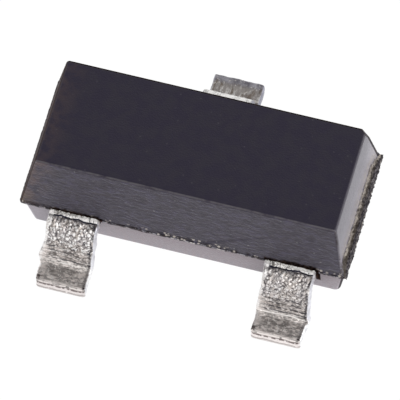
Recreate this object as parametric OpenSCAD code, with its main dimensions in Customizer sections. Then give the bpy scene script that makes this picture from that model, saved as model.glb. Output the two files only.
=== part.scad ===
// Switching diode in a small three-lead surface-mount package, in millimetres.
// Two diode chips share one cathode lead, and each has an anode lead of its own.
// The body is long in X. Its two anode leads point to -Y and its cathode lead to +Y.
// Z is up from the board, and the origin is on the board midway between the toes.

/* [Body] */
// Length of the body at the mould's parting plane
body_length = 2.86; // [2.7:0.01:3.04]
// Width of the body at the mould's parting plane
body_width = 1.24; // [1.16:0.01:1.3]
// Height of the top face above the board
body_height = 1.1; // [0.94:0.01:1.15]
// Height of the parting plane above the board
parting_height = 0.51; // [0.46:0.01:0.56]
// Gap between the body's underside and the board
stand_off = 0.06; // [0.02:0.01:0.12]
// Draft angle of the upper half's sides, in degrees
draft = 10.2; // [5:0.1:14]
// Draft angle of the lower half's sides, in degrees
lower_draft = 7.5; // [5:0.1:14]
// How far the top face is displaced towards the gate end
top_shift = 0.016; // [0:0.002:0.03]
// How far the body sits in front of the middle of the leads
body_forward = 0.06; // [0:0.01:0.08]
// How far the body sits to the left of the middle of the leads
body_left = 0.014; // [0:0.002:0.02]
// Radius of the upright edges and of the edges round the top face
edge_radius = 0.03; // [0.01:0.005:0.05]
// Radius of the edges round the underside
bottom_radius = 0.05; // [0.02:0.01:0.12]

/* [Mould marks] */
// How much shorter the lower half of the mould is than the upper half
lower_shortfall = 0.03; // [0:0.01:0.06]
// How much narrower the lower half of the mould is than the upper half
lower_narrowing = 0.055; // [0:0.005:0.08]
// How far the lower half is displaced towards the gate end
lower_shift = 0.015; // [0:0.005:0.05]
// Reach of the broken gate past the body's end
gate_reach = 0.025; // [0.01:0.005:0.04]
// Height of the broken gate above the parting plane
gate_rise = 0.19; // [0.1:0.01:0.24]
// Depth of the broken gate below the parting plane
gate_drop = 0.03; // [0.01:0.005:0.06]
// Length over which the broken gate rises from the rear corner
gate_ramp = 0.22; // [0.2:0.02:0.5]
// Height of the ripples along the gate's broken edge
gate_ripple = 0.007; // [0:0.001:0.012]

/* [Leads] */
// Thickness of the lead frame
lead_thickness = 0.12; // [0.09:0.005:0.15]
// Width of each anode lead
lead_width = 0.44; // [0.37:0.01:0.48]
// Width of the cathode lead
cathode_width = 0.44; // [0.37:0.01:0.48]
// Distance between the middles of the two anode leads
lead_pitch = 1.9; // [1.8:0.01:1.95]
// Distance over the toes of the leads, at their lower edges
toe_span = 2.36; // [2.3:0.01:2.6]
// How far the cut face of each toe leans back
toe_cut = 0.02; // [0:0.005:0.03]
// Slope of a lead between its two bends, in degrees from level
slope_angle = 75; // [65:1:80]
// Straight stub of an anode lead between the body's side and the first bend
anode_stub = 0.03; // [0.01:0.005:0.05]
// Straight stub of the cathode lead between the body's side and the first bend
cathode_stub = 0.125; // [0.09:0.005:0.16]
// Inside radius of the bend beside the body
shoulder_radius = 0.06; // [0.03:0.005:0.07]
// Inside radius of the bend above the foot
heel_radius = 0.08; // [0.04:0.005:0.1]

/* [Lead frame inside the body] */
// Width of the bonding post at the inner end of each anode lead
post_width = 0.52; // [0.5:0.01:0.6]
// Depth of the bonding post
post_depth = 0.26; // [0.22:0.01:0.3]
// Setback of the bonding post from the body's side
post_setback = 0.12; // [0.08:0.01:0.14]
// Length of the chip island on the cathode lead
island_length = 1.1; // [1:0.01:1.16]
// Width of the chip island
island_width = 0.6; // [0.5:0.01:0.64]
// Setback of the chip island from the body's side
island_setback = 0.16; // [0.1:0.01:0.2]

/* [Chips and bonds] */
// Distance between the middles of the two chips
chip_pitch = 0.54; // [0.5:0.01:0.6]
// Side of each square chip
chip_side = 0.28; // [0.2:0.01:0.34]
// Height of each chip
chip_height = 0.12; // [0.08:0.01:0.15]
// Thickness of the conductive glue under each chip
glue_thickness = 0.015; // [0.01:0.005:0.03]
// How far the glue shows past the chip's edge
glue_margin = 0.02; // [0.01:0.005:0.04]
// Side of the square metal contact on each chip
contact_side = 0.15; // [0.12:0.01:0.18]
// Thickness of the metal contact
contact_thickness = 0.004; // [0.002:0.001:0.006]
// Diameter of the bond wire
wire_diameter = 0.025; // [0.02:0.001:0.032]
// Diameter of the ball bond on the chip
ball_diameter = 0.075; // [0.06:0.005:0.1]
// Height of the ball bond
ball_height = 0.02; // [0.014:0.002:0.03]
// Rise of the wire's loop above both of its ends
loop_rise = 0.2; // [0.12:0.01:0.24]
// Length of the flattened stitch bond on the post
stitch_length = 0.08; // [0.06:0.01:0.1]
// Width of the stitch bond
stitch_width = 0.055; // [0.04:0.005:0.07]
// Thickness of the stitch bond
stitch_thickness = 0.01; // [0.006:0.001:0.014]

/* [Hidden] */
left = -1;
right = 1;
// Height of the slice that carries each body half's outline at the parting plane
slice = 0.001;
// Steps in the gate's broken edge, and the angles that its two ripples turn through
gate_steps = 24;
long_ripple = 700;
short_ripple = 1150;
// How deep the broken gate is rooted in the body, and how far its ends stay inside the corners
gate_root = 0.2;
gate_inset = 0.012;
// Steps round the rounded edge of a disc, and sides of the discs that shape the body
edge_steps = 8;
disc_sides = 32;
// Steps round each bend of a lead
bend_steps = 10;
// Rings along a bond wire, and sides round it
wire_rings = 16;
wire_sides = 8;
// Run of the wire, as a share, over which its loop stays high
loop_share = 0.6;
// Gap that keeps the round wire off the post beside its stitch
wire_lift = 0.001;

front_side = -body_width / 2 - body_forward;
rear_side = body_width / 2 - body_forward;
lead_z = parting_height - lead_thickness;
right_end = body_length / 2 - body_left;
toe_reach = toe_span / 2;

// The slope is the line that touches both bends, and the foot is flat from the heel on
bends_sum = shoulder_radius + heel_radius + lead_thickness;
slope_length = (lead_z - bends_sum * (1 - cos(slope_angle))) / sin(slope_angle);
bends_run = bends_sum * sin(slope_angle) + slope_length * cos(slope_angle);

post_y = front_side + post_setback + post_depth / 2;
island_y = rear_side - island_setback - island_width / 2;
glue_top = parting_height + glue_thickness;
chip_top = glue_top + chip_height;
contact_top = chip_top + contact_thickness;
wire_start_z = contact_top + ball_height / 2;
wire_end_z = parting_height + wire_diameter / 2 + wire_lift;

// Disc whose upper edge is rounded, standing on z = 0
module domed_disc(radius, edge) {
    rotate_extrude($fn = disc_sides)
        polygon(concat(
            [[0, 0]],
            [for (k = [0:edge_steps])
                let (angle = 90 * k / edge_steps)
                [radius - edge + edge * cos(angle), edge * sin(angle)]
            ],
            [[0, edge]]
        ));
}

// One half of the moulded body, with its outline on z = 0 and its drafted sides above
module mould_half(length, width, height, side_draft, far_shift, far_radius) {
    lean = height * tan(side_draft);
    radius = max(edge_radius, far_radius);
    hull()
        for (x_side = [left, right], y_side = [-1, 1]) {
            translate([x_side * (length / 2 - edge_radius), y_side * (width / 2 - edge_radius), 0])
                cylinder(h = slice, r = edge_radius, $fn = disc_sides);
            translate([
                x_side * (length / 2 - lean - radius) + far_shift,
                y_side * (width / 2 - lean - radius),
                height - far_radius
            ])
                domed_disc(radius, far_radius);
        }
}

// Reach of the broken gate past the body, where share runs from -1 to 1 along the end
function gate_edge(share) =
    gate_reach + gate_ripple * sin(share * long_ripple) * cos(share * short_ripple);

// Rough lump left on the end of the body where the gate was broken off, rising from the rear corner
module broken_gate() {
    front = front_side + gate_inset;
    rear = rear_side - gate_inset;
    intersection() {
        translate([right_end, (front + rear) / 2, parting_height - gate_drop])
            linear_extrude(gate_drop + gate_rise)
                polygon(concat(
                    [[-gate_root, (rear - front) / 2], [-gate_root, (front - rear) / 2]],
                    [for (k = [0:gate_steps])
                        let (share = 2 * k / gate_steps - 1)
                        [gate_edge(share), share * (rear - front) / 2]
                    ]
                ));
        translate([right_end - gate_root, 0, 0])
            rotate([90, 0, 90])
                linear_extrude(2 * gate_root)
                    polygon([
                        [front, parting_height - gate_drop],
                        [rear, parting_height - gate_drop],
                        [rear, parting_height],
                        [rear - gate_ramp, parting_height + gate_rise],
                        [front + gate_rise * tan(draft), parting_height + gate_rise],
                        [front, parting_height]
                    ]);
    }
}

// Points along a bend, where the angle is counted from straight up towards the toe
function bend(middle, radius, first, last) = [
    for (k = [0:bend_steps])
        let (angle = first + (last - first) * k / bend_steps)
        middle + radius * [sin(angle), cos(angle)]
];

// Side view of a lead from inside the body to its toe: x is the distance out, y is up
module gull_wing_section(inner_end, bend_start) {
    shoulder = [bend_start, lead_z - shoulder_radius];
    heel = [bend_start + bends_run, heel_radius + lead_thickness];
    polygon(concat(
        [[inner_end, parting_height]],
        bend(shoulder, shoulder_radius + lead_thickness, 0, slope_angle),
        bend(heel, -heel_radius, slope_angle, 0),
        [[toe_reach - toe_cut, lead_thickness], [toe_reach, 0]],
        bend(heel, -heel_radius - lead_thickness, 0, slope_angle),
        bend(shoulder, shoulder_radius, slope_angle, 0),
        [[inner_end, lead_z]]
    ));
}

// A formed lead that leaves the body towards +Y and starts at inner_end
module formed_lead(inner_end, bend_start, width) {
    rotate([90, 0, 90])
        linear_extrude(width, center = true)
            gull_wing_section(inner_end, bend_start);
}

// Flat plate of the lead frame, with its middle at x and y
module frame_plate(x, y, size_x, size_y) {
    translate([x - size_x / 2, y - size_y / 2, lead_z])
        cube([size_x, size_y, lead_thickness]);
}

// Anode lead with its bonding post
module lead_anode(side) {
    color("silver") {
        translate([side * lead_pitch / 2, 0, 0])
            rotate(180)
                formed_lead(-front_side - post_setback, -front_side + anode_stub, lead_width);
        frame_plate(side * lead_pitch / 2, post_y, post_width, post_depth);
    }
}

// Cathode lead with the island that carries both chips
module lead_cathode() {
    color("silver") {
        formed_lead(rear_side - island_setback, rear_side + cathode_stub, cathode_width);
        frame_plate(0, island_y, island_length, island_width);
    }
}

// Block on the chip island, with its underside at z
module chip_layer(side, z, width, thickness) {
    translate([side * chip_pitch / 2 - width / 2, island_y - width / 2, z])
        cube([width, width, thickness]);
}

// Layer of conductive glue under a chip
module die_glue(side) {
    color("darkgray")
        chip_layer(side, parting_height, chip_side + 2 * glue_margin, glue_thickness);
}

// Silicon diode chip
module diode_chip(side) {
    color("slategray")
        chip_layer(side, glue_top, chip_side, chip_height);
}

// Metal contact on top of a chip
module anode_contact(side) {
    color("lightgray")
        chip_layer(side, chip_top, contact_side, contact_thickness);
}

// Point on a smooth curve with four control points
function curve_point(p, t) =
    pow(1 - t, 3) * p[0] + 3 * pow(1 - t, 2) * t * p[1]
    + 3 * (1 - t) * t * t * p[2] + pow(t, 3) * p[3];

// Direction of that curve
function curve_direction(p, t) =
    let (d = pow(1 - t, 2) * (p[1] - p[0]) + 2 * (1 - t) * t * (p[2] - p[1]) + t * t * (p[3] - p[2]))
    d / norm(d);

// Round wire along a curve that stays in one upright plane, whose level normal is given
module swept_wire(control, level_normal) {
    points = [
        for (ring = [0:wire_rings], k = [0:wire_sides - 1])
            let (
                t = ring / wire_rings,
                up = cross(level_normal, curve_direction(control, t)),
                angle = 360 * k / wire_sides
            )
            curve_point(control, t)
            + wire_diameter / 2 * (cos(angle) * level_normal + sin(angle) * up)
    ];
    sides = [
        for (ring = [0:wire_rings - 1], k = [0:wire_sides - 1])
            let (next = (k + 1) % wire_sides, base = ring * wire_sides)
            [base + k, base + next, base + wire_sides + next, base + wire_sides + k]
    ];
    start_cap = [for (k = [wire_sides - 1:-1:0]) k];
    end_cap = [for (k = [0:wire_sides - 1]) wire_rings * wire_sides + k];
    polyhedron(points, concat([start_cap], sides, [end_cap]));
}

// Bond wire with its ball on the chip and its stitch on the post
module bond_wire(side) {
    start = [side * chip_pitch / 2, island_y, wire_start_z];
    end = [side * lead_pitch / 2, post_y, wire_end_z];
    level_run = [end[0] - start[0], end[1] - start[1], 0];
    along = level_run / norm(level_run);
    heading = atan2(along[1], along[0]);
    control = [
        start,
        start + [0, 0, loop_rise],
        start + loop_share * level_run + [0, 0, wire_end_z - wire_start_z + loop_rise],
        end
    ];
    color("gold") {
        translate([start[0], start[1], contact_top])
            cylinder(h = ball_height, d = ball_diameter, $fn = disc_sides);
        swept_wire(control, [-along[1], along[0], 0]);
        translate([end[0], end[1], parting_height])
            rotate(heading)
                translate([-stitch_length / 2, -stitch_width / 2, 0])
                    cube([stitch_length, stitch_width, stitch_thickness]);
    }
}

// Everything that the plastic was moulded round
module moulded_in() {
    lead_cathode();
    for (side = [left, right]) {
        lead_anode(side);
        die_glue(side);
        diode_chip(side);
        anode_contact(side);
        bond_wire(side);
    }
}

// Black epoxy body in one piece, with the mould's parting line and its broken gate
module body() {
    color("#33303c")
        difference() {
            union() {
                translate([-body_left, -body_forward, parting_height])
                    mould_half(
                        body_length,
                        body_width,
                        body_height - parting_height,
                        draft,
                        top_shift,
                        edge_radius
                    );
                translate([lower_shift - body_left, -body_forward, parting_height])
                    mirror([0, 0, 1])
                        mould_half(
                            body_length - lower_shortfall,
                            body_width - lower_narrowing,
                            parting_height - stand_off,
                            lower_draft,
                            0,
                            bottom_radius
                        );
                broken_gate();
            }
            moulded_in();
        }
}

body();
lead_anode(left);  // lead_anode_left
lead_anode(right);  // lead_anode_right
lead_cathode();
die_glue(left);  // die_glue_left
die_glue(right);  // die_glue_right
diode_chip(left);  // diode_chip_left
diode_chip(right);  // diode_chip_right
anode_contact(left);  // anode_contact_left
anode_contact(right);  // anode_contact_right
bond_wire(left);  // bond_wire_left
bond_wire(right);  // bond_wire_right
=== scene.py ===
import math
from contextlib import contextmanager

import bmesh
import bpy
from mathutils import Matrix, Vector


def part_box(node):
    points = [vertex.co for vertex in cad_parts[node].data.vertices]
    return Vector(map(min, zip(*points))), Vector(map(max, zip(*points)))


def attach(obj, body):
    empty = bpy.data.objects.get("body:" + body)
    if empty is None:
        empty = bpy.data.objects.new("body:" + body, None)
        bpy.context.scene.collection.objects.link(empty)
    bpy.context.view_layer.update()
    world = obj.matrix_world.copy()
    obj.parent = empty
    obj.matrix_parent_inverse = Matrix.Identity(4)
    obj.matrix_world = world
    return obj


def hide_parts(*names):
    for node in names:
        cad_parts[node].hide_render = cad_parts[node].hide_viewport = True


bl_info = {
    "name": "Switching Diode",
    "version": (1, 0, 0),
    "blender": (4, 5, 0),
    "location": "3D View > Sidebar > Diode",
    "description": "Dresses a small three-lead switching diode round its construction model",
    "category": "Object",
}

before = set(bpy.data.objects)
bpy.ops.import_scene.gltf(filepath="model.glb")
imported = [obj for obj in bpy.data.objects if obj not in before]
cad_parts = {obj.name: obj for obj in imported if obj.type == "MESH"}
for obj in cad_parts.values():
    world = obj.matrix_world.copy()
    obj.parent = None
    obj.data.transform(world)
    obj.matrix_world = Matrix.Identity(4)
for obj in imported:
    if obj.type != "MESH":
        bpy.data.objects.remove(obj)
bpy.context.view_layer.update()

# The pieces are modelled with one unit to a millimetre, which suits the tools' own tolerances,
# and are shrunk to metres when they are done. A hair is a length that counts as nothing.
MM = 0.001
HAIR = 0.0005
SLIVER = 0.2 * HAIR
SIDES = {"left": -1, "right": 1}


def node_box(node):
    """Lowest and highest corner of a construction node, in millimetres."""
    low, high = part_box(node)
    return low / MM, high / MM


BODY_LOW, BODY_HIGH = node_box("body")
CATHODE_LOW, CATHODE_HIGH = node_box("lead_cathode")
ANODE_LOW, ANODE_HIGH = node_box("lead_anode_right")
LEAD_MIDDLE = (ANODE_LOW.x + ANODE_HIGH.x) / 2
TOE_REACH = CATHODE_HIGH.y

# The halves of the body part level with the upper faces of the leads.
PARTING = CATHODE_HIGH.z

# How far a lead is finely divided inside the body, and into how many steps each bend is divided.
DIVIDED_INSIDE = 0.04
BEND_STEPS = 24

# Height on a flat strip above which its upper face begins.
UPPER_FACE = 0.04

# Where a front lead is creased, measured along its strip from the toe.
CREASE = 0.700

# How the leads of this sample depart from straight ones, in millimetres: the shift of each front
# foot, and waves of the edges, each with its side, its middle along the strip, its spread and reach.
FOOT_SHIFTS = {"left": -0.006, "right": 0.002}
EDGE_WAVES = {
    "left": ((-1, 0.56, 0.06, -0.016), (-1, 0.32, 0.07, 0.025), (1, 0.50, 0.06, 0.006)),
    "right": ((-1, 0.58, 0.09, -0.013), (-1, 0.33, 0.06, 0.010), (1, 0.23, 0.05, 0.020)),
    "rear": ((-1, 0.08, 0.10, 0.010),),
}
HEEL_BULGES = ((-1, 0.25, 0.06, 0.005), (1, 0.25, 0.06, 0.005))


def length(name, description, value):
    """A size in metres, whose default is given in millimetres."""
    return bpy.props.FloatProperty(
        name=name, description=description, default=value * MM, min=0, precision=6, unit="LENGTH"
    )


def shade(name, description, value):
    """A colour that a user may change."""
    return bpy.props.FloatVectorProperty(
        name=name, description=description, default=value, size=3, min=0, max=1, subtype="COLOR"
    )


def turn(name, description, degrees):
    """An angle, whose default is given in degrees."""
    return bpy.props.FloatProperty(
        name=name, description=description, default=math.radians(degrees), subtype="ANGLE"
    )


class DiodeBodySettings(bpy.types.PropertyGroup):
    body_length: length("Length", "Length of the upper half at the parting plane", 2.86)
    draft: turn("Draft", "Lean of the upper half's sides", 10.2)
    lower_draft: turn("Lower draft", "Lean of the lower half's sides", 7.5)
    top_shift: length("Top shift", "Shift of the top face towards the gate", 0.016)
    edge_radius: length("Edge radius", "Radius of the upright edges and round the top", 0.03)
    bottom_radius: length("Bottom radius", "Radius round the underside", 0.05)
    lower_shortfall: length("Lower shortfall", "How much shorter the lower half is", 0.015)
    lower_narrowing: length("Lower narrowing", "How much narrower the lower half is", 0.055)
    lower_shift: length("Lower shift", "Shift of the lower half towards the gate", 0.015)
    left_ease: length("Left ease", "How far the left end draws in at the parting plane", 0.005)
    worn_corner: length("Worn corner", "How deep the rear right corner of the top is rubbed off", 0.040)
    flash_reach: length("Flash reach", "How far the flash stands out at the parting line", 0.002)
    flash_height: length("Flash height", "Height of the ragged band of flash", 0.024)
    gate_reach: length("Gate reach", "Reach of the broken gate past the body's end", 0.025)
    gate_rise: length("Gate rise", "Height of the broken gate above the parting plane", 0.19)
    gate_drop: length("Gate drop", "Depth of the broken gate below the parting plane", 0.03)
    gate_ramp: length("Gate ramp", "Length over which the gate rises from the rear corner", 0.22)
    epoxy: shade("Epoxy", "Colour of the moulded plastic", (0.0078, 0.0055, 0.0180))
    bruised: shade("Broken edge", "Colour of the broken gate", (0.185, 0.168, 0.168))
    bead: shade("Bead", "Colour of the pale beads along the parting line", (0.50, 0.455, 0.40))
    shadow: shade("Shadow", "Colour of the gaps beside the leads", (0.004, 0.0025, 0.003))


class DiodeLeadSettings(bpy.types.PropertyGroup):
    thickness: length("Thickness", "Thickness of the lead frame", 0.12)
    width: length("Width", "Width of each anode lead", 0.44)
    cathode_width: length("Cathode width", "Width of the cathode lead", 0.44)
    stub: length("Stub", "Straight stub of an anode lead before its first bend", 0.03)
    cathode_stub: length("Cathode stub", "Straight stub of the cathode lead before its first bend", 0.125)
    toe_cut: length("Toe cut", "How far the cut face of each toe leans back", 0.02)
    slope: turn("Slope", "Slope of a lead between its bends", 75)
    shoulder: length("Shoulder", "Inside radius of the bend beside the body", 0.06)
    heel: length("Heel", "Inside radius of the bend above the foot", 0.08)
    post_setback: length("Post setback", "Setback of the bonding post from the body's side", 0.12)
    island_setback: length("Island setback", "Setback of the chip island from the body's side", 0.16)
    edge: length("Edge", "Radius of the stamped edges", 0.012)
    grain: length("Grain", "Size of the mesh cells on the lead", 0.008)
    crinkle: length("Crinkle", "Depth of the creases in the plating", 0.011)
    tin: shade("Tin", "Colour of the clean plating", (1.0, 0.985, 0.965))
    crinkled: shade("Crinkled tin", "Colour of the plating down the slope", (0.525, 0.49, 0.485))
    pressed: shade("Pressed tin", "Colour of the plating where the tool pressed it", (0.535, 0.495, 0.475))
    side_tin: shade("Side", "Colour of the stamped sides", (0.76, 0.76, 0.81))
    cut_end: shade("Cut end", "Colour of the cut toe", (0.93, 0.865, 0.85))
    # Dark colour of the grooves, which also paints the shade in the creases and seams of the crinkled
    # plating.
    groove_and_crease_shade: shade("Groove", "Colour in the creases", (0.020, 0.018, 0.028))


class DiodeBondSettings(bpy.types.PropertyGroup):
    wire: length("Wire", "Diameter of the bond wire", 0.025)
    ball: length("Ball", "Diameter of the ball bond", 0.075)
    ball_height: length("Ball height", "Height of the ball bond", 0.02)
    loop_rise: length("Loop rise", "Rise of the wire's loop above its ends", 0.2)
    stitch_length: length("Stitch length", "Length of the stitch bond", 0.08)
    stitch_width: length("Stitch width", "Width of the stitch bond", 0.055)
    stitch_thickness: length("Stitch thickness", "Thickness of the stitch bond", 0.01)
    gold: shade("Gold", "Colour of the wire", (0.90, 0.62, 0.24))


class DiodeStageSettings(bpy.types.PropertyGroup):
    azimuth: turn("Azimuth", "Camera's turn round the part", 16.6379)
    elevation: turn("Elevation", "Camera's height above the horizon", 61.5335)
    roll: turn("Roll", "Camera's roll", -1.4643)
    distance: length("Distance", "From the part to the camera", 60)
    view_width: length("View width", "Width of the view at the part", 3.417)
    aim_height: length("Aim height", "Height of the point that the camera turns round", 0.5)
    pan_right: bpy.props.FloatProperty(
        name="Pan right", description="Camera's shift to its right", default=-0.0279 * MM, unit="LENGTH"
    )
    pan_up: bpy.props.FloatProperty(
        name="Pan up", description="Camera's shift upwards", default=-0.2320 * MM, unit="LENGTH"
    )
    floor_size: length("Floor size", "Width of the pale floor", 600)


def deselect_all():
    """Leaves edit mode and deselects everything."""
    if bpy.context.mode != "OBJECT":
        bpy.ops.object.mode_set(mode="OBJECT")
    bpy.ops.object.select_all(action="DESELECT")


def make_active(piece):
    """Selects one piece alone."""
    deselect_all()
    piece.select_set(True)
    bpy.context.view_layer.objects.active = piece


@contextmanager
def edit_mode(piece, element):
    """Edit mode on one piece with nothing selected, choosing VERT, EDGE or FACE."""
    make_active(piece)
    bpy.ops.object.mode_set(mode="EDIT")
    bpy.ops.mesh.select_mode(type=element)
    bpy.ops.mesh.select_all(action="DESELECT")
    yield
    bpy.ops.object.mode_set(mode="OBJECT")


@contextmanager
def fresh_selection(piece, element):
    """Mesh of a piece in edit mode with nothing selected, for choosing EDGE or FACE anew."""
    bpy.ops.mesh.select_mode(type=element)
    bpy.ops.mesh.select_all(action="DESELECT")
    yield bmesh.from_edit_mesh(piece.data)
    bmesh.update_edit_mesh(piece.data)


def pick_faces(piece, test):
    """Selects the faces whose middle and normal pass the test."""
    with fresh_selection(piece, "FACE") as mesh:
        for face in mesh.faces:
            if test(face.calc_center_median(), face.normal):
                face.select_set(True)


def pick_edges(piece, test):
    """Selects the edges whose middle and run pass the test."""
    with fresh_selection(piece, "EDGE") as mesh:
        for edge in mesh.edges:
            start, end = (vertex.co for vertex in edge.verts)
            if test((start + end) / 2, end - start):
                edge.select_set(True)


def divide_along(piece, axis, spacing, shortest):
    """Cuts the edges that run along an axis, and are long enough, into even lengths."""
    runs = [edge_run(piece, edge)[axis] for edge in piece.data.edges]
    longest = max(abs(run) for run in runs)
    with edit_mode(piece, "EDGE"):
        pick_edges(piece, lambda middle, run: abs(run[axis]) > max(shortest, 0.9 * run.length))
        bpy.ops.mesh.subdivide(number_cuts=max(1, round(longest / spacing) - 1))


def edge_run(piece, edge):
    """Run of a mesh edge from its first end to its second."""
    start, end = (piece.data.vertices[k].co for k in edge.vertices)
    return end - start


def add_block(name, low, high):
    """Box between two corners."""
    low, high = Vector(low), Vector(high)
    deselect_all()
    bpy.ops.mesh.primitive_cube_add(size=1, location=(low + high) / 2, scale=high - low)
    block = bpy.context.object
    block.name = name
    bpy.ops.object.transform_apply()
    return block


def add_modifier(piece, kind, **settings):
    """Puts a modifier on a piece and applies it."""
    make_active(piece)
    modifier = piece.modifiers.new(kind.title(), kind)
    for name, value in settings.items():
        setattr(modifier, name, value)
    bpy.ops.object.modifier_apply(modifier=modifier.name)


def combine(piece, other, operation):
    """Unites another closed shape with a piece, or cuts it out, and removes the other."""
    add_modifier(piece, "BOOLEAN", operation=operation, solver="MANIFOLD", object=other)
    bpy.data.objects.remove(other)


def weigh(piece, name, formula):
    """Vertex group whose weights follow a formula of the vertex's place."""
    group = piece.vertex_groups.new(name=name)
    for vertex in piece.data.vertices:
        weight = min(1.0, max(0.0, formula(vertex.co)))
        if weight > 0:
            group.add([vertex.index], weight, "REPLACE")
    return name


def bump_between(value, low, high, soft):
    """One between two limits and zero outside them, with soft ends."""
    rise = min(1.0, max(0.0, (value - low) / soft + 0.5))
    fall = min(1.0, max(0.0, (high - value) / soft + 0.5))
    return rise * rise * (3 - 2 * rise) * fall * fall * (3 - 2 * fall)


def texture(name, kind, **settings):
    """Procedural texture that roughens a shape."""
    made = bpy.data.textures.new(name, kind)
    for setting, value in settings.items():
        setattr(made, setting, value)
    return made


def roughen(piece, made, depth, group="", direction="NORMAL", stretch=(1, 1, 1), middle=0.5):
    """Moves a surface in and out by a texture, which may be stretched along the axes."""
    deselect_all()
    bpy.ops.object.empty_add(location=(0, 0, 0))
    space = bpy.context.object
    space.scale = stretch
    bpy.context.view_layer.update()
    add_modifier(
        piece, "DISPLACE", texture=made, strength=depth, mid_level=middle, direction=direction,
        vertex_group=group, texture_coords="OBJECT", texture_coords_object=space,
    )
    bpy.data.objects.remove(space)


def push(piece, distance, group, direction):
    """Moves a weighted part of a surface along an axis."""
    add_modifier(
        piece, "DISPLACE", strength=distance, mid_level=0, direction=direction, vertex_group=group
    )


def finish_piece(piece, finish, slot, *nodes, sharp=35, even=False):
    """Shrinks a piece to metres, smooths it, paints it and seats it on the frame."""
    piece.scale = (MM, MM, MM)
    make_active(piece)
    bpy.ops.object.transform_apply()
    bpy.ops.object.shade_smooth_by_angle(angle=math.radians(sharp))
    if even:
        add_modifier(piece, "WEIGHTED_NORMAL", keep_sharp=True)
    piece.vertex_groups.clear()
    piece.data.materials.clear()
    piece.data.materials.append(finish)
    if nodes:
        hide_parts(*nodes)
    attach(piece, "root")


class Value:
    """Output of a shader node that takes part in plain sums."""

    def __init__(self, wiring, socket):
        self.wiring = wiring
        self.socket = socket

    def sum(self, operation, *parts):
        return self.wiring.node("ShaderNodeMath", {"operation": operation}, dict(enumerate(parts)))

    def __add__(self, other):
        return self.sum("ADD", self, other)

    def __radd__(self, other):
        return self.sum("ADD", other, self)

    def __sub__(self, other):
        return self.sum("SUBTRACT", self, other)

    def __rsub__(self, other):
        return self.sum("SUBTRACT", other, self)

    def __mul__(self, other):
        return self.sum("MULTIPLY", self, other)

    def __rmul__(self, other):
        return self.sum("MULTIPLY", other, self)

    def __abs__(self):
        return self.sum("ABSOLUTE", self)

    def larger(self, other):
        return self.sum("MAXIMUM", self, other)

    def step(self, low, high):
        """Soft step from 0 at the low value to 1 at the high one, which may be the smaller."""
        inputs = {"Value": self, "From Min": low, "From Max": high}
        return self.wiring.node("ShaderNodeMapRange", {"interpolation_type": "SMOOTHSTEP"}, inputs)

    def band(self, middle, outer, inner):
        """One within an inner distance of a middle value, falling to 0 at an outer one."""
        return abs(self - middle).step(outer, inner)


class Wiring:
    """A node tree that is being filled."""

    def __init__(self, tree):
        self.tree = tree

    def feed(self, node, inputs):
        """Links values to a node's sockets, or writes constants into them."""
        for name, value in inputs.items():
            if isinstance(value, Value):
                self.tree.links.new(value.socket, node.inputs[name])
            else:
                node.inputs[name].default_value = value

    def node(self, kind, settings=None, inputs=None, output=0):
        """Adds a node, sets it up, feeds it and returns one of its outputs."""
        made = self.tree.nodes.new(kind)
        for name, value in (settings or {}).items():
            setattr(made, name, value)
        self.feed(made, inputs or {})
        return Value(self, made.outputs[output])

    def axes(self, vector):
        """The three numbers of a vector."""
        parts = self.node("ShaderNodeSeparateXYZ", None, {0: vector}).socket.node.outputs
        return [Value(self, part) for part in parts]


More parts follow.
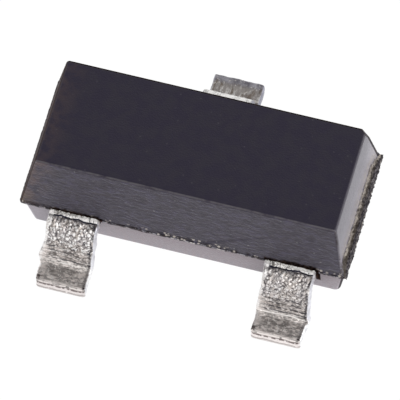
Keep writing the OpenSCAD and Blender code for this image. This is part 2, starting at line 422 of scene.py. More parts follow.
class Finish(Wiring):
    """A material being mixed, with its patterns laid out in millimetres."""

    def __init__(self, name, **constants):
        self.material = bpy.data.materials.new(name)
        self.material.use_nodes = True
        super().__init__(self.material.node_tree)
        self.shader = self.tree.nodes["Principled BSDF"]
        self.paint(**constants)
        self.place = self.stretch(self.node("ShaderNodeTexCoord", output="Object"), [1 / MM] * 3)

    def paint(self, **inputs):
        """Feeds the shader and returns the material."""
        self.feed(self.shader, {name.replace("_", " "): value for name, value in inputs.items()})
        return self.material

    def stretch(self, vector, factors):
        """A vector multiplied along each axis."""
        return self.node("ShaderNodeVectorMath", {"operation": "MULTIPLY"}, {0: vector, 1: factors})

    def shift(self, vector, other):
        """A vector moved by another."""
        return self.node("ShaderNodeVectorMath", {"operation": "ADD"}, {0: vector, 1: other})

    def noise(self, vector, scale, detail=2.0, roughness=0.5, distortion=0.0, output=0):
        """Smooth noise from 0 to 1."""
        inputs = {"Vector": vector, "Scale": scale, "Detail": detail, "Roughness": roughness}
        return self.node("ShaderNodeTexNoise", None, {**inputs, "Distortion": distortion}, output)

    def long_noise(self, vector, scales, detail=2.0, roughness=0.5):
        """Smooth noise with its own scale along each axis, which is endless where the scale is 0."""
        return self.noise(self.stretch(vector, scales), 1, detail, roughness)

    def cells(self, vector, scale, feature="F1"):
        """Distance in a pattern of cells."""
        inputs = {"Vector": vector, "Scale": scale}
        return self.node("ShaderNodeTexVoronoi", {"feature": feature}, inputs, "Distance")

    def swirl(self, vector, scale, reach):
        """A vector pushed about by smooth noise."""
        centred = self.shift(self.noise(vector, scale, 1.0, output="Color"), (-0.5, -0.5, -0.5))
        return self.shift(vector, self.stretch(centred, (reach, reach, reach)))

    def mix(self, share, first, second):
        """Colour between two others, each a value or three numbers."""
        first, second = (part if isinstance(part, Value) else (*part, 1) for part in (first, second))
        settings = {"data_type": "RGBA", "clamp_factor": True}
        return self.node("ShaderNodeMix", settings, {0: share, 6: first, 7: second}, 2)

    def coated(self, colour, *coats):
        """Lays coats over a colour in turn, each a mask and the colour that it shows."""
        for mask, coat in coats:
            colour = self.mix(mask, colour, coat)
        return colour

    def bump(self, height, distance):
        """Normal that follows a height, whose full scale is a distance in millimetres."""
        inputs = {"Height": height, "Distance": distance * MM, "Strength": 1.0}
        return self.node("ShaderNodeBump", None, inputs, "Normal")

    def dull(self, mask, colour):
        """Lays a colour without any shine over the shader, where the mask is 1."""
        inputs = {"Base Color": colour, "Roughness": 1, "Specular IOR Level": 0}
        cover = self.node("ShaderNodeBsdfPrincipled", None, inputs)
        shiny = Value(self, self.shader.outputs[0])
        blend = self.node("ShaderNodeMixShader", None, {0: mask, 1: shiny, 2: cover})
        self.feed(self.tree.nodes["Material Output"], {"Surface": blend})


def times(colour, factor):
    """A colour made lighter or darker."""
    return tuple(factor * part for part in colour)


def largest(first, *others):
    """Largest of several values at each point."""
    for other in others:
        first = first.larger(other)
    return first


# Which way the rubbed corner at the rear right of the top faces.
WORN_FACING = Vector((0.70, 0.62, 0.35)).normalized()


def worn_place(settings):
    """A point on the rubbed facet, below the sharp corner that the draft and the shift of the top give."""
    inset = math.tan(settings.draft) * (BODY_HIGH.z - PARTING)
    right = BODY_LOW.x + (settings.body_length + settings.top_shift) / MM - inset
    sharp = Vector((right, BODY_HIGH.y - inset, BODY_HIGH.z))
    return sharp - WORN_FACING * settings.worn_corner / MM


class EpoxyFinish(Finish):
    """Dull black moulding compound, paler and browner where it broke or squeezed out."""

    # Colours of the plastic and the marks on it, and of the painted sheen, highlight and shade on it.
    BLUISH = (0.0120, 0.0100, 0.0205)
    STREAK = (0.044, 0.038, 0.086)
    SPECK = (0.20, 0.20, 0.20)
    BROWNED = (0.080, 0.045, 0.037)
    STAIN = (0.110, 0.082, 0.040)
    BROKEN = (0.026, 0.022, 0.024)
    OUTER_EDGE = (0.012, 0.010, 0.011)
    OLIVE = (0.105, 0.088, 0.062)
    END_SHEEN_HIGH = (0.040, 0.037, 0.045)
    END_SHEEN_LOW = (0.270, 0.252, 0.280)
    EDGE_HIGHLIGHT = (0.085, 0.080, 0.090)
    LOWER_SHEEN = (0.070, 0.024, 0.032)
    LOWER_SHEEN_PATCH = (0.145, 0.084, 0.092)
    LOWER_SHEEN_LEFT = (0.140, 0.100, 0.125)
    SHADE_AND_MATTE_MOTTLE = (0.030, 0.020, 0.017)
    SHADE_BROWN = (0.055, 0.030, 0.022)
    CREAM = (0.46, 0.42, 0.36)

    def __init__(self, settings):
        super().__init__(
            "black_epoxy", IOR=1.60, Specular_Tint=(0.94, 0.875, 1.0, 1.0),
            Sheen_Weight=1.0, Sheen_Roughness=0.37, Sheen_Tint=(0.92, 0.90, 1.0, 1.0),
        )
        self.settings = settings
        self.x, self.y, self.z = self.axes(self.place)
        self.find_sides()
        self.lay_patterns()
        self.find_faces()

    def find_sides(self):
        """How far a point lies past each side of the upper half, which is nothing on the side itself."""
        height = BODY_HIGH.z - PARTING
        lean = math.tan(self.settings.draft)
        tilt = self.settings.top_shift / MM / height
        ease = self.settings.left_ease / MM
        self.right_end = BODY_LOW.x + self.settings.body_length / MM
        self.rise = (self.z - PARTING).larger(0)
        self.past_right = self.x + self.rise * (lean - tilt) - self.right_end
        self.past_left = BODY_LOW.x + ease - self.x + self.rise * (lean + tilt - ease / height)
        self.past_front = BODY_LOW.y - self.y + self.rise * lean
        self.past_rear = self.y - BODY_HIGH.y + self.rise * lean

    def lay_patterns(self):
        """Noises that several marks share."""
        place = self.place
        self.mottle = self.noise(place, 9, 4, 0.6)
        self.grain = self.noise(place, 60, 3, 0.6)
        self.ragged = self.noise(place, 24, 2, 0.6)
        self.jag = self.ragged - 0.5
        self.rough = self.noise(place, 30, 3, 0.75)
        self.wander = self.long_noise(place, (14, 14, 0)) - 0.5
        self.patches = self.long_noise(place, (26, 26, 12), 3, 0.7)
        self.streaks = self.long_noise(self.swirl(place, 9, 0.05), (11, 11, 40), 3, 0.75)
        self.crumbs = self.cells(place, 28)

    def find_faces(self):
        """Masks that are 1 on a face or an end of the body."""
        self.upper = self.z.step(PARTING - 0.004, PARTING + 0.004)
        self.lower = self.z.step(PARTING - 0.020, PARTING - 0.034)
        self.near_top = self.z.step(BODY_HIGH.z - 0.05, BODY_HIGH.z - 0.03)
        self.behind_front = self.y.step(BODY_LOW.y + 0.06, BODY_LOW.y + 0.12)
        self.gate = (self.past_right + 0.012 * self.jag).step(0.002, 0.008)
        self.front_face = self.past_front.step(-0.02, -0.008) * self.upper
        self.left_face = self.past_left.step(-0.026, -0.010) * self.upper
        self.end_face = self.past_right.step(-0.024, -0.006) * self.upper * (1 - self.gate)

    def skin(self):
        """Mottled black with pale streaks along the front, a few specks and a browner left end."""
        specks = self.cells(self.place, 13).step(0.13, 0.07)
        rare = self.noise(self.place, 3.1, 1).step(0.46, 0.58)
        left_end = self.past_left.step(-0.26, 0.0).larger(self.past_left.step(-0.07, -0.02))
        left_end = left_end * self.mottle.step(0.35, 0.6)
        stain = self.past_left.step(-0.12, -0.02) * self.rise.step(0.22, 0.04)
        return self.coated(
            times(self.settings.epoxy, 1.1),
            (self.mottle.step(0.38, 0.62), self.BLUISH),
            (self.streaks.step(0.5, 0.66) * self.front_face * 0.55, self.STREAK),
            (specks * rare * (0.12 + 0.6 * self.front_face), self.SPECK),
            (left_end * (0.3 + 0.6 * self.front_face), self.BROWNED),
            (stain * self.front_face * self.ragged.step(0.36, 0.52) * 0.6, self.STAIN),
        )

    def broken_plastic(self):
        """The gate is rough and dark, and a pale broken line runs along its inner edge."""
        outer = self.x.step(self.right_end + 0.014, self.right_end + 0.022)
        olive = self.x.step(self.right_end + 0.020, self.right_end + 0.010)
        line = (self.past_right + 0.05 * self.jag).step(0.030, 0.014) * self.behind_front
        line = line * self.noise(self.place, 11, 2).step(0.30, 0.40) * self.upper
        return self.coated(
            self.BROKEN,
            (self.rough.step(0.40, 0.60), self.settings.bruised),
            (outer * self.ragged.step(0.40, 0.55) * 0.8, self.OUTER_EDGE),
            (olive * self.mottle.step(0.36, 0.48) * 0.6, self.OLIVE),
            (self.gate * line, self.settings.bead),
        )

    def sheen_coats(self):
        """Coats of painted sheen on the faces that look paler than the rest, because they are seen at a
        slant: the end, the lower half and a painted highlight along the top front edge.
        """
        # The end face is painted with its sheen, paler towards the bottom.
        end = self.mix(self.rise.step(0.46, 0.18), self.END_SHEEN_HIGH, self.END_SHEEN_LOW)
        # A painted highlight along the rounded edge between the top and the front face.
        edge_highlight = self.past_front.band(-0.013, 0.007, 0.003) * self.near_top
        # The lower half is painted paler as the sheen of the floor's reflection in it, with mottled patches
        # of its own and a paler left end.
        lower_sheen = self.coated(
            self.LOWER_SHEEN,
            (self.patches.step(0.38, 0.62), self.LOWER_SHEEN_PATCH),
            (self.x.step(-0.85, -1.05), self.LOWER_SHEEN_LEFT),
        )
        return (
            (self.end_face, end),
            (edge_highlight * self.mottle.step(0.30, 0.55), self.EDGE_HIGHLIGHT),
            (self.lower, lower_sheen),
        )

    def parting_line(self):
        """Masks of the pale crumbs along the parting line, thicker right of the middle, and of its dots."""
        line = (self.z + 0.03 * self.wander).band(PARTING - 0.004, 0.024, 0.014)
        dense = self.x.band(0.10, 0.40, 0.18)
        crumbly = largest(
            (self.long_noise(self.place, (6, 0, 0)) + 0.20 * dense).step(0.46, 0.54),
            0.6 * self.x.step(1.12, 1.18),
            self.x.step(-1.16, -1.20),
        )
        seam = (self.z + 0.05 * self.wander).band(PARTING + 0.004, 0.052, 0.034) * crumbly * (1 - self.gate)
        beads = seam * self.crumbs.step(0.44, 0.30)
        beads = beads * (self.noise(self.place, 17, 1) + 0.16 * dense).step(0.42, 0.50)
        dots = line * (1 - self.gate) * self.ragged.step(0.43, 0.49)
        grooves = seam * self.crumbs.step(0.36, 0.50) * self.ragged.step(0.40, 0.50) * 0.75
        return beads, dots.larger(grooves) * (1 - beads) * 0.8

    def lead_shadows(self):
        """Masks of the painted shade in the gaps round the front leads, and of the brown in it."""
        front_only = self.y.step(BODY_LOW.y + 0.09, BODY_LOW.y + 0.06)
        ceiling = PARTING + 0.036 + 0.020 * self.x.step(0.75, 1.10) + 0.06 * self.jag
        over_lead = (abs(abs(self.x) - LEAD_MIDDLE) + 0.08 * self.wander).step(0.240, 0.215)
        over_lead = over_lead * (self.z - ceiling).step(0.022, -0.012)
        over_lead = over_lead * self.z.step(PARTING - 0.014, PARTING - 0.004)
        slot = self.x.band(LEAD_MIDDLE + 0.232, 0.026, 0.016)
        slot = slot * (self.z + 0.05 * self.jag).band(PARTING - 0.115, 0.155, 0.135)
        blob = self.x.band(0.228 - LEAD_MIDDLE, 0.026, 0.016)
        blob = blob * self.z.band(PARTING, 0.034, 0.022)
        low = (self.z + 0.03 * self.jag).step(PARTING + 0.006, PARTING - 0.006)
        gaps = largest(over_lead, slot, blob) * front_only
        return gaps, largest(over_lead * low, blob * low, slot * self.ragged.step(0.48, 0.56))

    def rubbed_facet(self):
        """Mask of the rubbed corner of the top."""
        facing = self.x * WORN_FACING.x + self.y * WORN_FACING.y + self.z * WORN_FACING.z
        return (facing - WORN_FACING.dot(worn_place(self.settings))).step(-0.008, -0.002)

    def finished(self):
        """Puts the skin together, and lays what doesn't shine over it."""
        beads, line = self.parting_line()
        gaps, brown = self.lead_shadows()
        # The left face, turned away from the lamps, is painted dark and brown as shade.
        left_face_shade = self.left_face * (0.3 + 0.7 * self.ragged.step(0.42, 0.54))
        creamy = (self.rise + 0.16 * (self.mottle - 0.5)).step(0.37, 0.21) * self.rough.step(0.34, 0.56)
        creamy = creamy * self.end_face * self.behind_front * self.past_rear.step(-0.04, -0.07)
        # Colour of the matte coat: the shade colour, mottled where rough, which is painted shade in the
        # gaps and on the left face and darkens the other dull parts; brown in parts, cream by the gate, and
        # the gate's broken plastic.
        matte_coat_and_shade = self.coated(
            self.settings.shadow,
            (self.rough.step(0.42, 0.60), self.SHADE_AND_MATTE_MOTTLE),
            (brown.larger(left_face_shade), self.SHADE_BROWN),
            (creamy, self.CREAM),
            (self.gate, self.broken_plastic()),
        )
        near_right = self.past_right.step(-0.030, -0.018)
        rear_edge = self.past_rear.step(-0.029, -0.019) * self.near_top
        rear_corner = self.past_rear.step(-0.053, -0.045) * near_right * (1 - self.gate)
        front_corner = self.past_front.step(-0.022, -0.012) * near_right * self.upper
        lower_end = self.right_end - self.settings.lower_shortfall / MM / 2
        past_low = self.x - lower_end + (PARTING - self.z) * math.tan(self.settings.lower_draft)
        low_edge = self.z.step(BODY_LOW.z + 0.040, BODY_LOW.z + 0.022) * self.x.step(1.15, 1.25)
        low_corner = largest(past_low.step(-0.016, -0.004), low_edge * 0.6)
        blotches = 0.35 + 1.3 * self.patches.step(0.40, 0.60)
        self.dull(
            largest(
                # Painted shade in the gaps by the leads.
                gaps,
                line,
                rear_edge,
                rear_corner * 0.85,
                # Painted shade over the left face.
                self.left_face * 0.85,
                self.front_face * (0.17 + 0.16 * self.streaks.step(0.54, 0.36)),
                front_corner * self.rough.step(0.47, 0.55) * 0.6,
                self.rubbed_facet() * 0.8,
                creamy * 0.40,
                low_corner * self.lower * 0.85,
                blotches * (0.03 + 0.058 * self.x.step(-0.8, -0.2)) * self.lower,
                self.end_face * self.y.step(0.0, 0.6) * 0.075,
                self.gate * 0.85,
            ),
            matte_coat_and_shade,
        )
        streaks = self.streaks * self.front_face
        return self.paint(
            Base_Color=self.coated(self.skin(), *self.sheen_coats(), (beads, self.settings.bead)),
            Roughness=0.27 + 0.1 * self.grain + 0.3 * self.gate,
            Normal=self.bump(0.60 * streaks + 0.25 * self.grain, 0.009),
        )


class TinPlating(Finish):
    """Dull tin on a formed lead, whose patterns follow the strip from its toe over the bends."""

    # Colours of the marks that all three leads have, and of their painted highlights.
    WARM_TINT = (0.66, 0.58, 0.50)
    BEAD_HIGHLIGHT = (1.0, 0.985, 0.975)
    GLINT = (1.0, 0.98, 0.97)
    FOOT_LINE = (0.97, 0.93, 0.90)
    TOE_LINE = (0.085, 0.045, 0.042)
    TOE_LIP = (1.0, 0.93, 0.90)
    SCRATCH = (0.40, 0.36, 0.35)
    UNDER_EDGE = (0.50, 0.47, 0.46)
    TOE_SHADE = (0.25, 0.23, 0.24)

    border_share = 0.2
    lip_share = 0

    def __init__(self, settings, name, foot_end, stub_start):
        super().__init__(name)
        self.settings = settings
        self.foot_end, self.stub_start = foot_end, stub_start
        strip = self.node("ShaderNodeAttribute", {"attribute_name": "strip"}, None, "Vector")
        own = self.node("ShaderNodeAttribute", {"attribute_name": "own"}, None, "Vector")
        self.relief = self.node("ShaderNodeAttribute", {"attribute_name": "relief"}, None, "Fac")
        self.along, self.height, self.across = self.axes(strip)
        self.grainy = self.shift(strip, own)
        self.edge = settings.width / MM / 2
        self.lay_patterns()

        # The left front lead has the smallest offset of its own, and the others are finer than it.
        self.finer = self.axes(own)[0].step(4.5, 5.5)

    def lay_patterns(self):
        """Noises that several marks share."""
        grainy = self.grainy
        self.fine = self.noise(grainy, 90, 2, 0.6)
        self.blotch = self.noise(grainy, 15, 3, 0.6)
        self.speckle = self.noise(self.shift(grainy, (1.3, 0.2, 2.9)), 46, 2, 0.65)
        self.wander = self.long_noise(grainy, (0, 0, 9)) - 0.5
        self.breaks = self.noise(self.shift(self.stretch(grainy, (6, 6, 22)), (5.3, 2.1, 0)), 1)
        self.dashes = self.long_noise(grainy, (52, 52, 15), 2, 0.6)
        self.stripes = self.long_noise(grainy, (9, 9, 56))
        self.curls = self.noise(grainy, 25, 1.5, 0.5, 0.9)
        self.other_curls = self.noise(self.shift(grainy, (3.1, 1.7, 0.4)), 41, 1, 0.5, 0.6)
        self.swirled = self.swirl(self.stretch(grainy, (1.4, 1, 1)), 34, 0.032)
        self.cell_edges = self.cells(self.swirled, 37, "DISTANCE_TO_EDGE")
        # Painted shade in the winding seams between the crinkles, and painted highlights on the beads
        # between them.
        self.seam_shade = self.cell_edges.step(0.15, 0.05) * self.speckle.step(0.40, 0.54)
        self.bead_highlights = (self.cells(self.swirled, 37) + 0.7 * (self.blotch - 0.5)).step(0.50, 0.32)

    def pressed(self, factor):
        """The tone that the tool left, made lighter or darker."""
        return times(self.settings.pressed, factor)

    def dashed(self, low, high):
        """Mask of dashes across the lead, with specks in them."""
        return (0.6 * self.dashes + 0.4 * self.speckle).step(low, high)

    def stripe(self, place, half_width, drift, gaps):
        """Uneven line across the lead at a place along it, with breaks."""
        line = (self.along + drift * self.wander).band(place, half_width, 0.45 * half_width)
        return line * self.breaks.step(gaps, gaps + 0.08)

    def slope(self):
        """Crinkled: painted highlights on beads of plating between dark winding seams of painted shade,
        with more painted shade where the crinkles sank.
        """
        tint = self.noise(self.shift(self.grainy, (2.2, 0.6, 1.1)), 12, 2).step(0.40, 0.60)
        sunk_shade = self.relief.step(-0.001, -0.007)
        return self.coated(
            times(self.settings.crinkled, 0.90),
            (self.blotch.step(0.40, 0.60), times(self.settings.crinkled, 1.15)),
            (tint * 0.35, self.WARM_TINT),
            (self.bead_highlights * (1 - 0.4 * self.finer), self.BEAD_HIGHLIGHT),
            (largest(self.seam_shade * 0.85, sunk_shade * 0.3), self.settings.groove_and_crease_shade),
        )

    def heel(self):
        """Dashes and thin lines across the lead from the forming tool, with a few painted highlights on
        beads and painted shade in seams.
        """
        lines = self.long_noise(self.grainy, (75, 75, 7), 3, 0.65)
        return self.coated(
            self.pressed(0.46),
            (self.dashed(0.42, 0.58), self.pressed(1.65)),
            (lines.step(0.60, 0.70) * 0.4, self.pressed(0.25)),
            (self.bead_highlights * 0.4, self.GLINT),
            (self.seam_shade * 0.4, self.settings.groove_and_crease_shade),
        )

    def toe(self):
        """The foot's tone rolls over the upper edge, then come a dark broken line and the bright cut."""
        dashed = self.long_noise(self.grainy, (0, 0, 30), 1.5).step(0.42, 0.52)
        edge = (self.height + 0.016 * self.wander).band(0.014, 0.013, 0.006)
        lip = (self.height + 0.010 * self.wander).band(0.040, 0.014, 0.006)
        scratch = (self.height + 0.010 * self.wander).band(-0.033, 0.012, 0.005)
        rolled = self.mix(self.dashes.step(0.42, 0.58), self.pressed(0.45), self.pressed(1.0))
        return self.coated(
            times(self.settings.cut_end, 0.85),
            (self.speckle.step(0.36, 0.5), self.settings.cut_end),
            (self.height.step(0.012, 0.020), rolled),
            (edge * dashed * 0.85, self.TOE_LINE),
            (lip * self.breaks.step(0.40, 0.48) * self.lip_share, self.TOE_LIP),
            (scratch * self.breaks.step(0.34, 0.44) * 0.85, self.SCRATCH),
            (self.height.step(-0.044, -0.052) * 0.9, self.UNDER_EDGE),
            ((1 - self.finer) * 0.12, self.TOE_SHADE),
        )

    def sides(self, plain):
        """The stamped sides."""
        return self.coated(
            times(plain, 0.8),
            (self.blotch.step(0.35, 0.65), times(plain, 1.15)),
            (self.speckle.step(0.60, 0.68) * 0.4, times(plain, 0.5)),
        )

    def clean(self):
        """Mask of the stub by the body, which the tools left clean."""
        return (self.along + 0.02 * self.wander).step(self.stub_start, self.stub_start + 0.006)

    def upper_face(self, grooves=(), crease=()):
        """Colour of the face from the foot to the stub, with the coats of its grooves and its crease."""
        border = (self.across + 0.03 * (self.fine - 0.5)).band(self.edge - 0.021, 0.016, 0.006)
        border = border * self.speckle.step(0.38, 0.50)
        border = border * self.along.step(self.stub_start, self.stub_start - 0.03)
        return self.coated(
            self.slope(),
            (self.along.step(0.485, 0.445), self.heel()),
            (self.along.step(self.foot_end + 0.010, self.foot_end - 0.010), self.foot()),
            (
                self.stripe(self.foot_end + 0.008, half_width=0.014, drift=0.06, gaps=0.38) * 0.8,
                self.FOOT_LINE,
            ),
            *grooves,
            (self.clean(), self.stub()),
            *crease,
            (border * self.border_share, self.settings.groove_and_crease_shade),
        )

    def assembled(self, face, sides, outward, bright, *coats):
        """Paints the lead: its face, the sides where a point lies far enough outward, the toe and more."""
        colour = self.coated(
            sides,
            (self.height.step(0.040, 0.052), face),
            (outward.step(self.edge - 0.012, self.edge - 0.003), sides),
            (self.along.step(0.006, 0.002), self.toe()),
            *coats,
        )
        return self.paint(
            Base_Color=colour,
            Metallic=0.82 - 0.7 * bright,
            Roughness=0.34 + 0.2 * self.fine,
            Normal=self.bump(0.4 * self.fine + 0.6 * self.curls, 0.003),
        )


class FrontTin(TinPlating):
    """Plating of the two front leads."""

    # Colours of the marks on the front leads, and of the painted shadow in the body's gap.
    FLECK = (1.0, 0.97, 0.95)
    CORNER = (0.045, 0.030, 0.028)
    CURL = (0.20, 0.17, 0.14)
    CREASE_LINE = (0.006, 0.006, 0.022)
    TOE_DOT = (0.045, 0.025, 0.025)
    SCOURED = (0.72, 0.72, 0.75)
    WHITE = (1.0, 1.0, 1.0)
    SHADED = (0.32, 0.27, 0.20)
    FRINGE = (0.07, 0.035, 0.016)
    GAP_SHADOW = (0.004, 0.002, 0.002)

    lip_share = 0.8

    def __init__(self, settings, body_side):
        super().__init__(settings, "tin_plating", foot_end=0.250, stub_start=body_side - 0.038)
        self.border_share = 0.55 + 0.25 * self.along.step(0.22, 0.30)
        self.near_stub = self.along.step(0.60, 0.65)
        self.body_side = body_side

    def foot(self):
        """Pressed flat, darker in the middle and mottled all over."""
        centre = self.across.band(-0.03, 0.18, 0.09) * self.along.band(0.15, 0.06, 0.03)
        corners = abs(self.across + 0.03 * self.wander).step(self.edge - 0.042, self.edge - 0.025)
        corners = corners * self.along.step(0.040, 0.022)
        return self.coated(
            self.pressed(0.62),
            (self.dashed(0.40, 0.60), self.pressed(1.7)),
            (centre * (0.2 + 0.5 * self.blotch.step(0.42, 0.56)), self.pressed(0.42)),
            (self.other_curls.step(0.58, 0.66) * 0.6, self.FLECK),
            (self.curls.step(0.40, 0.32) * 0.5, self.pressed(0.28)),
            (self.along.step(0.05, 0.02) * 0.5, self.pressed(1.6)),
            (corners * self.speckle.step(0.36, 0.46), self.CORNER),
        )

    def stub(self):
        """Bright plating with stripes from the body, squiggles and curled cells."""
        squiggles = self.other_curls.band(0.5, 0.030, 0.010) * self.speckle.step(0.46, 0.54)
        curled = self.cell_edges.step(0.10, 0.03) * self.across.step(0.10, -0.02)
        return self.coated(
            times(self.settings.tin, 0.25),
            (self.stripes.step(0.36, 0.41), self.settings.tin),
            (squiggles * self.blotch.step(0.62, 0.44) * 0.8, self.settings.groove_and_crease_shade),
            (curled * 0.65, self.CURL),
        )

    def grooves(self):
        """Coat of the broken dark grooves across the heel, of which the right lead has one more."""
        grooves = largest(
            self.stripe(0.467, half_width=0.012, drift=0.06, gaps=0.42),
            self.stripe(0.418, half_width=0.011, drift=0.05, gaps=0.45),
            self.stripe(0.309, half_width=0.012, drift=0.05, gaps=0.38),
            self.stripe(0.365, half_width=0.014, drift=0.05, gaps=0.40) * self.finer,
        )
        return grooves * 0.8, self.settings.groove_and_crease_shade

    def crease(self):
        """Coat of the crease at the stub's first bend."""
        crease = (self.along + 0.04 * self.wander).band(self.stub_start, 0.0065, 0.003)
        return crease * self.breaks.step(0.28, 0.34), self.CREASE_LINE

    def rim_highlight(self):
        """Mask of the painted highlight on the pale rim of the left edge, beaded by the stub."""
        beads = self.cells(self.swirled, 30).step(0.60, 0.42)
        runs = self.long_noise(self.grainy, (11, 0, 0)).step(0.42, 0.54)
        rim_highlight = self.across - 0.022 * self.near_stub + 0.02 * (self.speckle - 0.5)
        rim_highlight = rim_highlight.step(0.028 - self.edge, 0.016 - self.edge)
        return rim_highlight * largest(beads * self.near_stub, 0.7 * runs * self.along.step(0.06, 0.10))

    def left_edge(self, rim_highlight):
        """Coats along the left edge: a dark line, a pale fade, the rim's painted highlight and a dot by the
        toe.
        """
        line = (self.across + 0.03 * (self.fine - 0.5)).band(0.042 - self.edge, 0.016, 0.006)
        line = line * self.speckle.step(0.40, 0.52) * self.along.step(0.46, 0.52)
        fade = self.across.step(0.09 - self.edge, 0.015 - self.edge) * self.along.step(0.06, 0.10)
        fade = fade * self.along.step(0.50, 0.44) * self.blotch.step(0.30, 0.60)
        dot = self.across.band(0.017 - self.edge, 0.022, 0.010) * self.along.band(0.050, 0.022, 0.010)
        return (
            (line * 0.45, self.settings.groove_and_crease_shade),
            (fade * 0.7, self.pressed(1.7)),
            (rim_highlight, self.GLINT),
            (dot * 0.85, self.TOE_DOT),
        )

    def scuffed_sides(self):
        """Stamped sides, scoured pale by the foot and brown in the shade of the body."""
        scoured = self.mix(self.blotch.step(0.40, 0.55), self.SCOURED, self.WHITE)
        shaded = self.along.step(self.stub_start - 0.01, self.stub_start + 0.02)
        return self.coated(
            self.sides(self.settings.side_tin),
            ((self.along + 0.05 * self.wander).step(0.29, 0.22), scoured),
            (shaded * self.speckle.step(0.40, 0.50) * 0.6, self.SHADED),
        )

    def finished(self):
        """Puts the plating together; the end inside the plastic's gap is painted dark as its shadow, with a
        brown fringe.
        """
        rim_highlight = self.rim_highlight()
        face = self.coated(self.upper_face([self.grooves()], [self.crease()]), *self.left_edge(rim_highlight))
        fringe = self.along + 0.020 * (self.speckle - 0.5)
        fringe = fringe.step(self.body_side + 0.003, self.body_side + 0.007)
        deep = self.along.step(self.body_side + 0.008, self.body_side + 0.014)
        bright = self.clean().larger(rim_highlight * self.near_stub) * (1 - fringe)
        # Painted shadow on the lead inside the gap, with a brown fringe at its mouth.
        inside = self.mix(deep, self.FRINGE, self.GAP_SHADOW)
        return self.assembled(face, self.scuffed_sides(), self.across, bright, (fringe, inside))


class RearTin(TinPlating):
    """Plating of the rear lead, of which only the foot and the stub show from the front."""

    # Colours of the marks on the rear lead.
    SMOOTH_DARK = (0.21, 0.20, 0.24)
    SMOOTH_PALE = (0.44, 0.43, 0.48)
    FLECK = (1.0, 0.97, 0.92)
    WORN = (0.20, 0.15, 0.11)
    TORN = (1.0, 0.98, 0.96)
    OUTLINE = (0.10, 0.10, 0.11)
    SIDE = (0.29, 0.29, 0.35)

    def __init__(self, settings, body_side):
        super().__init__(settings, "tin_plating_rear", foot_end=0.178, stub_start=body_side - 0.272)

    def foot(self):
        """Smooth at the toe, then stained and torn towards the bend."""
        smooth = self.mix(self.blotch.step(0.35, 0.65), self.SMOOTH_DARK, self.SMOOTH_PALE)
        smudges = self.long_noise(self.grainy, (9, 9, 26)).step(0.50, 0.60)
        tears = self.long_noise(self.grainy, (8, 8, 40)).step(0.46, 0.58)
        tears = tears * self.along.step(0.095, 0.150) * self.blotch.step(0.38, 0.55)
        outline = self.along.step(0.018, 0.008) * self.across.step(0.05, -0.10)
        return self.coated(
            self.pressed(0.82),
            ((self.along + 0.05 * self.wander).step(0.095, 0.050) * 0.9, smooth),
            (self.speckle.step(0.55, 0.70) * 0.6, self.FLECK),
            (self.along.step(0.04, 0.08) * smudges * 0.65, self.WORN),
            (tears * 0.65, self.TORN),
            (outline * 0.6, self.OUTLINE),
        )

    def stub(self):
        """Bright plating with faint stripes from the body."""
        faint = (0.6 * self.blotch + 0.4 * self.stripes).step(0.42, 0.56)
        return self.mix(faint, times(self.settings.tin, 0.55), times(self.settings.tin, 0.97))

    def finished(self):
        """Puts the plating together."""
        sides = self.sides(self.SIDE)
        return self.assembled(self.upper_face(), sides, abs(self.across), self.clean())


def plain_finish(name, colour, metallic, roughness, scale, depth):
    """Fine-grained finish for the small pieces sealed in the body."""
    finish = Finish(name, Metallic=metallic)
    grain = finish.noise(finish.place, scale, 3, 0.6)
    pale = tuple(min(1, part) for part in times(colour, 1.15))
    return finish.paint(
        Base_Color=finish.mix(grain, times(colour, 0.8), pale),
        Roughness=roughness + 0.15 * grain,
        Normal=finish.bump(grain, depth),
    )


def mould_half(name, low, high, lean, radius, far_radius, far_side, far_shift=0):
    """One half of the body: the hull of its outline at the parting plane and four round corners."""
    near_z, far_z = (low.z, high.z) if far_side > 0 else (high.z, low.z)
    far_inset = lean + far_radius
    deselect_all()
    corners = []
    for x, x_side in ((low.x, 1), (high.x, -1)):
        for y, y_side in ((low.y, 1), (high.y, -1)):
            bpy.ops.mesh.primitive_cylinder_add(
                vertices=32, radius=radius, depth=HAIR,
                location=(x + x_side * radius, y + y_side * radius, near_z + far_side * HAIR / 2),
            )
            corners.append(bpy.context.object)
            bpy.ops.mesh.primitive_uv_sphere_add(
                segments=32, ring_count=16, radius=far_radius,
                location=(
                    x + x_side * far_inset + far_shift,
                    y + y_side * far_inset,
                    far_z - far_side * far_radius,
                ),
            )
            corners.append(bpy.context.object)
    deselect_all()
    for corner in corners:
        corner.select_set(True)
    bpy.context.view_layer.objects.active = corners[0]
    bpy.ops.object.join()
    half = bpy.context.object
    half.name = name
    bpy.ops.object.transform_apply()
    with edit_mode(half, "VERT"):
        bpy.ops.mesh.select_all(action="SELECT")
        bpy.ops.mesh.convex_hull()
        bpy.ops.mesh.select_all(action="SELECT")
        bpy.ops.mesh.dissolve_limited(angle_limit=math.radians(0.5))
    return half


def wear_corner(body, place):
    """Rubs one corner of a convex half down to a small slanting facet."""
    with edit_mode(body, "FACE"):
        bpy.ops.mesh.select_all(action="SELECT")
        bpy.ops.mesh.bisect(plane_co=place, plane_no=WORN_FACING, use_fill=True, clear_outer=True)


